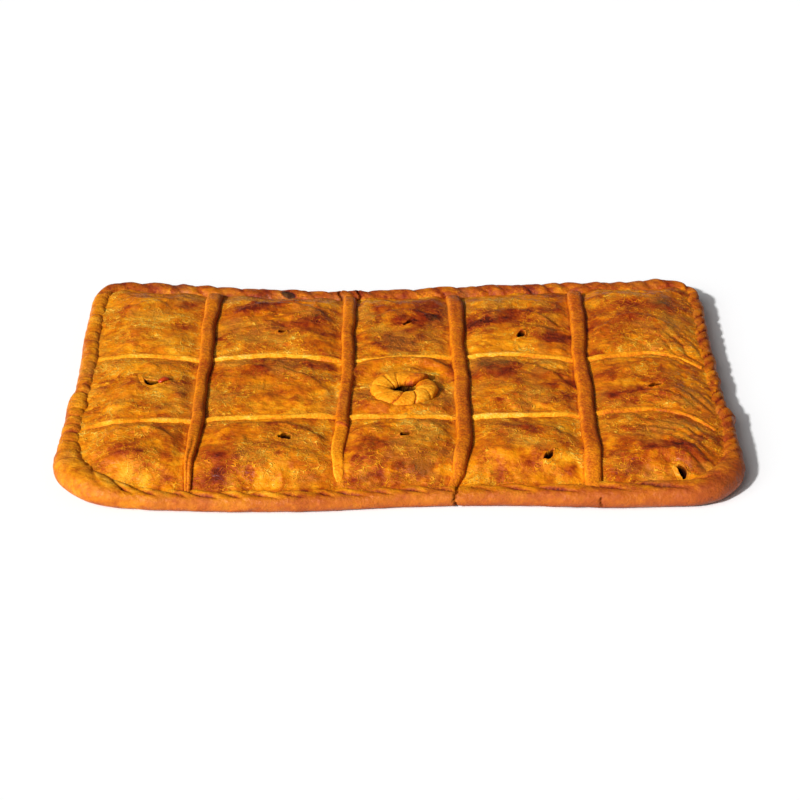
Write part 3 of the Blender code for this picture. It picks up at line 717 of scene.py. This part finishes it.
def make_long(i, material):
    n, steps = 420, 13
    x = np.linspace(-0.2605, 0.2620, n)
    y = long_y(i, x)
    dx, dy = np.gradient(x), np.gradient(y)
    length = np.hypot(dx, dy)
    side = np.stack([-dy / length, dx / length], -1)
    half = 0.0046 * (1 + 0.16 * noise(x, 0 * x, 0 * x, 0.018, 181 + i) + 0.10 * noise(x, 0 * x, 0 * x, 0.007, 183 + i))
    half = half * (1 - 0.35 * smooth(0.18, 0.26, x))
    base = lid_base(x, y)
    cover = np.zeros(n)
    for k in range(4):
        cover = np.maximum(cover, smooth(0.003, -0.002, np.abs(x - cross_x(k, y)) - cross_half(k, y)))
    q = np.linspace(-1, 1, steps)
    X, Y = x[:, None] + side[:, None, 0] * half[:, None] * q, y[:, None] + side[:, None, 1] * half[:, None] * q
    profile = (1 - np.abs(q) ** 2.0) ** 1.1
    tall = (0.0022 - 0.0010 * smooth(0.21, 0.25, -x)) * (1 - 0.55 * cover) * (1 + 0.25 * noise(x, 0 * x, 0 * x, 0.022, 185 + i)) * (1 - 0.3 * smooth(0.2, 0.26, x))
    z = base[:, None] + tall[:, None] * profile - 0.0004 + 0.00022 * fbm(X, Y, 0 * X, 0.009, 191 + i, 2) * profile
    bake = 0.27 + 0.10 * fbm(X, Y, 0 * X, 0.02, 195 + i, 2) + 0.06 * noise(X, Y, 0 * X, 0.005, 197 + i)
    # darker towards both edges: painted shade, beside the ends' own darker tone
    bake = bake + 0.17 * np.abs(q) ** 2.0 + 0.14 * smooth(0.10, 0.22, X) + 0.10 * smooth(0.20, 0.25, -X)
    # marks the back edge for painted shade
    crease_shade = 0.35 * np.clip(q, 0, 1) ** 4
    return band("strip_along_%d" % (i + 1), np.stack([x, y, base], -1), side, half, z, 0.0016, steps,
                {"bake": bake, "hole_shade": 0 * X, "crease_shade": crease_shade, "web": 0.1 + 0 * X, "salmon": 0 * X},
                material, ("long_strip_back", "long_strip_front")[i])


def make_ring(material):
    """A length of dough laid round the vent, its thick end lapped over its thin one at the back right."""
    n, m = 260, 44
    a = np.linspace(math.radians(38), math.radians(38 + 372), n)
    t = np.linspace(0, 1, n)
    cx, cy = RING_CENTRE[0], RING_CENTRE[1]
    half = 0.0098 - 0.0022 * smooth(0.75, 1.0, t) + 0.0009 * np.sin(3 * a + 1.0)
    half = half * (0.55 + 0.45 * smooth(0.0, 0.02, t)) * (0.5 + 0.5 * smooth(0.0, 0.02, 1 - t))
    rx = 0.0192 + 0.0008 * np.sin(2 * a) + 0.0010 * smooth(0.9, 1.0, t)
    ry = 0.0168 + 0.0006 * np.cos(3 * a)
    tall = 0.0058 - 0.0012 * smooth(0.80, 1.0, t) + 0.0013 * np.exp(-((t - 0.03) / 0.05) ** 2)
    floor = float(lid_base(np.array([cx - 0.03]), np.array([cy]))[0]) - 0.0012
    lift = 0.0016 * smooth(0.10, 0.0, t) - 0.0010 * smooth(0.92, 1.0, t)
    x0, y0 = cx + rx * np.cos(a), cy + ry * np.sin(a)
    nx, ny = np.cos(a), np.sin(a)
    w = np.linspace(0, 2 * math.pi, m, endpoint=False)
    A, W = np.meshgrid(a, w, indexing="ij")
    cosw, sinw = np.cos(W), np.sin(W)
    across = np.sign(cosw) * np.abs(cosw) ** 0.85 * half[:, None]
    up = np.sign(sinw) * np.abs(sinw) ** 0.9 * tall[:, None]
    up = np.where(up < 0, up * 0.5, up)
    # creases that run from the ring's opening outwards, aslant
    groove = np.zeros_like(A)
    for at, wide, deep in ((262, 0.05, 0.0016), (303, 0.045, 0.0015), (222, 0.07, 0.0008), (180, 0.06, 0.0007), (140, 0.07, 0.0010), (110, 0.06, 0.0008), (340, 0.06, 0.0007), (70, 0.05, 0.0010)):
        d = (A - math.radians(at) + 0.22 * cosw + math.pi) % (2 * math.pi) - math.pi
        groove = np.maximum(groove, deep * np.exp(-(d / wide) ** 2) * smooth(-0.3, 0.2, sinw))
    across = across - cosw * groove
    up = up - sinw * groove
    px, py = x0[:, None] + nx[:, None] * across, y0[:, None] + ny[:, None] * across
    pz = floor + 0.0012 + lift[:, None] + up
    lumps = 0.0006 * fbm(px, py, pz, 0.011, 201, 2) + 0.00018 * noise(px, py, pz, 0.004, 203)
    px, py, pz = px + nx[:, None] * cosw * lumps, py + ny[:, None] * cosw * lumps, pz + sinw * lumps
    # darker in the creases: painted shade
    bake = 0.34 + 0.05 * fbm(px, py, pz, 0.014, 205, 2) + 0.08 * smooth(0.0004, 0.0014, groove)
    flap = np.exp(-((t - 0.03) / 0.075) ** 2)[:, None]
    bake = bake + 0.17 * np.exp(-((np.mod(A, 2 * math.pi) - math.radians(8)) / 0.5) ** 2)
    bake = bake + 0.42 * flap * (0.6 + 0.4 * noise(px, py, pz, 0.007, 207))
    # darker underneath and on the inner side by the opening: painted shade
    bake = bake + 0.10 * smooth(0.2, -0.6, sinw) + 0.18 * smooth(0.3, -0.8, cosw) * (1 - smooth(-0.2, 0.8, sinw))
    # near black on the lower inner side: painted shade
    hole_shade = 0.7 * smooth(-0.75, -1.0, cosw) * smooth(0.5, -0.2, sinw)
    obj = grid_object("ring_of_dough", np.stack([px, py, pz], -1), closed_v=True, attributes={
        "bake": bake, "hole_shade": hole_shade, "crease_shade": smooth(0.0006, 0.0016, groove), "web": 0.1 + 0 * px, "salmon": 0 * px})
    cap_ends(obj, m)
    obj.data.materials.append(material)
    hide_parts("vent_ring")
    return obj


def make_scrap(name, x, y, z, length, width, thick, turn, colour, rough, seed):
    """A small strip of cooked filling lying in a vent."""
    n, m = 34, 18
    t = np.linspace(-1, 1, n)
    w = np.linspace(0, 2 * math.pi, m, endpoint=False)
    T, W = np.meshgrid(t, w, indexing="ij")
    body = np.sqrt(np.clip(1 - np.abs(T) ** 3, 0.004, 1))
    a = T * length * 0.5
    b = np.cos(W) * width * 0.5 * body + 0.0008 * np.sin(T * 2.2)
    c = np.sin(W) * thick * 0.5 * body + 0.0007 * np.cos(T * 2.0)
    r = math.radians(turn)
    px = x + a * math.cos(r) - b * math.sin(r)
    py = y + a * math.sin(r) + b * math.cos(r)
    pz = z + c
    px = px + 0.0003 * noise(px, py, pz, 0.003, seed)
    pz = pz + 0.0003 * noise(px, py, pz, 0.003, seed + 1)
    obj = grid_object(name, np.stack([px, py, pz], -1), closed_v=True)
    cap_ends(obj, m)
    material = bpy.data.materials.new(name)
    material.use_nodes = True
    nodes, links = material.node_tree.nodes, material.node_tree.links
    shader = nodes["Principled BSDF"]
    coords = nodes.new("ShaderNodeTexCoord")
    grain = nodes.new("ShaderNodeTexNoise")
    grain.inputs["Scale"].default_value = 420.0
    links.new(coords.outputs["Object"], grain.inputs["Vector"])
    ramp = nodes.new("ShaderNodeValToRGB")
    ramp.color_ramp.elements[0].color = tuple(c * 0.55 for c in colour[:3]) + (1,)
    ramp.color_ramp.elements[1].color = colour
    ramp.color_ramp.elements[0].position, ramp.color_ramp.elements[1].position = 0.3, 0.7
    links.new(grain.outputs["Fac"], ramp.inputs["Fac"])
    links.new(ramp.outputs["Color"], shader.inputs["Base Color"])
    shader.inputs["Roughness"].default_value = rough
    obj.data.materials.append(material)
    return obj


# ---------------------------------------------------------------- looks

def crust_material(name, tint, grain, gloss, web_amount, patchy=1.0):
    """Baked, egg-washed dough. bake runs from pale gold to nearly black; web is the pale crackle of the glaze."""
    material = bpy.data.materials.new(name)
    material.use_nodes = True
    tree = material.node_tree
    nodes, links = tree.nodes, tree.links
    shader = nodes["Principled BSDF"]

    def node(kind, **values):
        made = nodes.new(kind)
        for key, value in values.items():
            if key in made.inputs:
                made.inputs[key].default_value = value
            else:
                setattr(made, key, value)
        return made

    def attribute(key):
        made = nodes.new("ShaderNodeAttribute")
        made.attribute_name = key
        return made.outputs["Fac"]

    def math_node(operation, a, b=None, clamp=False):
        made = nodes.new("ShaderNodeMath")
        made.operation = operation
        made.use_clamp = clamp
        for socket, value in zip(made.inputs, (a, b)):
            if value is None:
                continue
            if isinstance(value, (int, float)):
                socket.default_value = value
            else:
                links.new(value, socket)
        return made.outputs[0]

    def ranged(value, low, high, to_low=0.0, to_high=1.0):
        made = nodes.new("ShaderNodeMapRange")
        made.interpolation_type = "SMOOTHSTEP"
        links.new(value, made.inputs["Value"])
        for key, number in (("From Min", low), ("From Max", high), ("To Min", to_low), ("To Max", to_high)):
            made.inputs[key].default_value = number
        return made.outputs["Result"]

    coords = nodes.new("ShaderNodeTexCoord").outputs["Object"]

    def stretched(sx, sy, sz):
        made = nodes.new("ShaderNodeMapping")
        made.inputs["Scale"].default_value = (sx, sy, sz)
        links.new(coords, made.inputs["Vector"])
        return made.outputs["Vector"]

    def noise_node(vector, scale, detail=2.0, rough=0.5, distortion=0.0):
        made = nodes.new("ShaderNodeTexNoise")
        made.inputs["Scale"].default_value = scale
        made.inputs["Detail"].default_value = detail
        made.inputs["Roughness"].default_value = rough
        made.inputs["Distortion"].default_value = distortion
        links.new(vector, made.inputs["Vector"])
        return made.outputs["Fac"]

    bake = attribute("bake")
    brown_patch = ranged(noise_node(coords, 46.0, 6.0, 0.66), 0.52, 0.61, 0.0, 0.15 * patchy)
    gold_patch = ranged(noise_node(stretched(0.8, 1.3, 1.0), 40.0, 6.0, 0.64, 0.5), 0.50, 0.59, 0.0, -0.15 * patchy)
    patches = math_node("MULTIPLY", math_node("ADD", brown_patch, gold_patch), ranged(attribute("web"), 0.1, 0.9, 0.35, 1.0))
    bake = math_node("ADD", bake, patches)
    mottle = noise_node(coords, 95.0, 3.0, 0.55)
    fleck = noise_node(coords, 330.0 if patchy > 0.5 else 560.0, 2.0, 0.6)
    bake = math_node("ADD", bake, math_node("MULTIPLY", math_node("SUBTRACT", mottle, 0.5), 0.12 + 0.30 * patchy))
    bake = math_node("ADD", bake, math_node("MULTIPLY", math_node("SUBTRACT", fleck, 0.5), grain))

    # the web: thin broken curves where two noises pass their middle
    wide = stretched(1.0, 1.45, 1.0)
    web_a = math_node("ABSOLUTE", math_node("SUBTRACT", noise_node(wide, 78.0, 2.2, 0.62, 0.9), 0.5))
    web_b = math_node("ABSOLUTE", math_node("SUBTRACT", noise_node(wide, 150.0, 1.5, 0.55, 0.6), 0.5))
    line_a = ranged(web_a, 0.016, 0.003)
    line_b = ranged(web_b, 0.018, 0.004)
    patch_a = ranged(noise_node(coords, 34.0, 2.0), 0.46, 0.60)
    patch_b = ranged(noise_node(coords, 41.0, 2.0, 0.5, 0.4), 0.50, 0.62)
    web = math_node("MAXIMUM", math_node("MULTIPLY", line_a, patch_a), math_node("MULTIPLY", line_b, patch_b))
    swirl = nodes.new("ShaderNodeTexNoise")
    swirl.inputs["Scale"].default_value = 90.0
    swirl.inputs["Detail"].default_value = 2.0
    links.new(coords, swirl.inputs["Vector"])
    shift = nodes.new("ShaderNodeVectorMath")
    shift.operation = "MULTIPLY_ADD"
    links.new(swirl.outputs["Color"], shift.inputs[0])
    shift.inputs[1].default_value = (0.017, 0.014, 0.015)
    links.new(wide, shift.inputs[2])
    cells = nodes.new("ShaderNodeTexVoronoi")
    cells.feature = "DISTANCE_TO_EDGE"
    cells.inputs["Scale"].default_value = 150.0
    links.new(shift.outputs[0], cells.inputs["Vector"])
    net = math_node("MULTIPLY", ranged(cells.outputs["Distance"], 0.065, 0.02), ranged(noise_node(coords, 30.0, 3.0, 0.6), 0.45, 0.56))
    web = math_node("MAXIMUM", web, net)
    web = math_node("MULTIPLY", math_node("MULTIPLY", web, attribute("web")), web_amount, clamp=True)
    bake_crackle_shade = math_node("SUBTRACT", bake, math_node("MULTIPLY", web, 0.31))
    # darkens the colour where marked: painted shade in wrinkle valleys, the rope's and ring's grooves, cracks, and
    # along the strips' and rope's edges
    bake_crackle_shade = math_node("ADD", bake_crackle_shade, math_node("MULTIPLY", attribute("crease_shade"), 0.16))

    ramp = nodes.new("ShaderNodeValToRGB")
    stops = ((0.00, (246, 204, 124)), (0.20, (242, 168, 42)), (0.36, (224, 137, 8)), (0.50, (200, 108, 4)),
             (0.64, (168, 74, 8)), (0.78, (134, 42, 12)), (0.90, (96, 27, 13)), (1.00, (54, 18, 12)))
    elements = ramp.color_ramp.elements
    elements[0].position, elements[0].color = 0.0, srgb(*stops[0][1])
    elements[1].position, elements[1].color = 1.0, srgb(*stops[-1][1])
    for position, colour in stops[1:-1]:
        elements.new(position).color = srgb(*colour)
    links.new(bake_crackle_shade, ramp.inputs["Fac"])

    def mixed(factor, a, b, blend="MIX"):
        made = nodes.new("ShaderNodeMix")
        made.data_type = "RGBA"
        made.blend_type = blend
        for socket, value in ((made.inputs["Factor"], factor), (made.inputs[6], a), (made.inputs[7], b)):
            if isinstance(value, (int, float, tuple)):
                socket.default_value = value
            else:
                links.new(value, socket)
        return made.outputs[2]

    colour = ramp.outputs["Color"]
    # greyer dough where the egg wash missed
    dry = ranged(noise_node(coords, 27.0, 3.0, 0.6), 0.50, 0.66, 0.0, 0.42)
    colour = mixed(math_node("MULTIPLY", dry, attribute("web")), colour, srgb(186, 128, 62))
    colour = mixed(math_node("MULTIPLY", attribute("salmon"), 0.45), colour, srgb(186, 96, 36))
    colour = mixed(1.0, colour, tint, "MULTIPLY")
    # mixes in near black where marked: painted shade inside the vents and the vent ring's opening, on the ring's lower
    # inner side and in the rope's cracks
    colour = mixed(attribute("hole_shade"), colour, srgb(36, 10, 5))
    links.new(colour, shader.inputs["Base Color"])

    rough = ranged(noise_node(coords, 60.0, 3.0, 0.6), 0.30, 0.70, gloss, gloss + 0.30)
    links.new(rough, shader.inputs["Roughness"])
    links.new(ranged(attribute("hole_shade"), 0.0, 0.6, 0.20, 0.0), shader.inputs["Specular IOR Level"])
    shader.inputs["Subsurface Weight"].default_value = 0.06
    shader.inputs["Subsurface Radius"].default_value = (1.0, 0.45, 0.2)
    shader.inputs["Subsurface Scale"].default_value = 0.0015
    height = math_node("ADD", math_node("MULTIPLY", noise_node(wide, 210.0, 3.0, 0.6), 0.8), math_node("MULTIPLY", fleck, 0.35))
    height = math_node("ADD", height, math_node("MULTIPLY", web, 0.7))
    bump = nodes.new("ShaderNodeBump")
    bump.inputs["Strength"].default_value = 0.9
    bump.inputs["Distance"].default_value = 0.0015
    links.new(height, bump.inputs["Height"])
    links.new(bump.outputs["Normal"], shader.inputs["Normal"])
    return material


def white_material(name, value, rough):
    material = bpy.data.materials.new(name)
    material.use_nodes = True
    nodes, links = material.node_tree.nodes, material.node_tree.links
    shader = nodes["Principled BSDF"]
    shader.inputs["Base Color"].default_value = (value, value, value, 1)
    shader.inputs["Roughness"].default_value = rough
    shader.inputs["Specular IOR Level"].default_value = 0.1
    return material


lid_material = crust_material("baked_lid", (0.96, 0.88, 0.36, 1.0), 0.22, 0.36, 1.0)
rope_material = crust_material("baked_rope", (0.94, 0.95, 0.85, 1.0), 0.20, 0.42, 0.55)
strip_material = crust_material("baked_strip", (1.12, 1.12, 0.92, 1.0), 0.52, 0.48, 0.2, 0.25)

make_lid(lid_material)
for k in range(len(VENTS)):
    make_vent(k, lid_material)
rope, rope_points = make_rope(rope_material)
make_underside(rope_material, rope_points)
for i in range(4):
    make_cross(i, strip_material)
for i in range(2):
    make_long(i, strip_material)
make_ring(strip_material)
pepper_x, pepper_y = -0.1995, -0.0235
pepper_z = float(lid_surface(np.array([pepper_x]), np.array([pepper_y]), vents=False)[0][0])
make_scrap("pepper_scrap", pepper_x, pepper_y, pepper_z + 0.0008, 0.0105, 0.0052, 0.0028, 22, srgb(208, 66, 10), 0.34, 301)

# ---------------------------------------------------------------- floor, light and camera

floor_mesh = bpy.data.meshes.new("floor")
floor_mesh.from_pydata([(-8, -8, 0), (8, -8, 0), (8, 8, 0), (-8, 8, 0)], [], [(0, 1, 2, 3)])
floor = bpy.data.objects.new("floor", floor_mesh)
floor.location.z = -0.0004
bpy.context.scene.collection.objects.link(floor)
floor.data.materials.append(white_material("floor_white", 0.96, 0.9))

world = bpy.data.worlds.new("studio")
bpy.context.scene.world = world
world.use_nodes = True
wn, wl = world.node_tree.nodes, world.node_tree.links
background = wn["Background"]
background.inputs["Color"].default_value = (1, 1, 1, 1)
background.inputs["Strength"].default_value = 0.125
bright = wn.new("ShaderNodeBackground")
bright.inputs["Color"].default_value = (1, 1, 1, 1)
bright.inputs["Strength"].default_value = 1.0
path = wn.new("ShaderNodeLightPath")
choose = wn.new("ShaderNodeMixShader")
wl.new(path.outputs["Is Camera Ray"], choose.inputs["Fac"])
wl.new(background.outputs[0], choose.inputs[1])
wl.new(bright.outputs[0], choose.inputs[2])
wl.new(choose.outputs[0], wn["World Output"].inputs["Surface"])

from mathutils import Vector


def aim(obj, direction):
    obj.rotation_euler = Vector(direction).to_track_quat("-Z", "Y").to_euler()


sun = bpy.data.lights.new("key", "SUN")
sun.energy = 4.0
sun.angle = math.radians(4.0)
sun.color = (1, 1, 1)
key = bpy.data.objects.new("key", sun)
bpy.context.scene.collection.objects.link(key)
aim(key, (0.66, 0.71, -0.635))

wide_sun = bpy.data.lights.new("wide_key", "SUN")
wide_sun.energy = 1.3
wide_sun.angle = math.radians(45)
wide_sun.color = (1, 1, 1)
wide_key = bpy.data.objects.new("wide_key", wide_sun)
bpy.context.scene.collection.objects.link(wide_key)
aim(wide_key, (0.64, 0.66, -0.64))

camera = bpy.data.cameras.new("camera")
camera.lens = 2253.0 * 36.0 / 800.0
camera.sensor_width = 36.0
camera.shift_x = 1.0 / 800.0
camera.shift_y = -1.4 / 800.0
camera.clip_start, camera.clip_end = 0.05, 60.0
view = bpy.data.objects.new("camera", camera)
bpy.context.scene.collection.objects.link(view)
tilt = math.radians(31.5)
middle = Vector((0.0, -0.006, 0.0))
view.location = middle + Vector((0, -1.939 * math.cos(tilt), 1.939 * math.sin(tilt)))
aim(view, middle - view.location)
bpy.context.scene.camera = view
bpy.context.scene.view_settings.view_transform = "Standard"

bpy.context.view_layer.update()
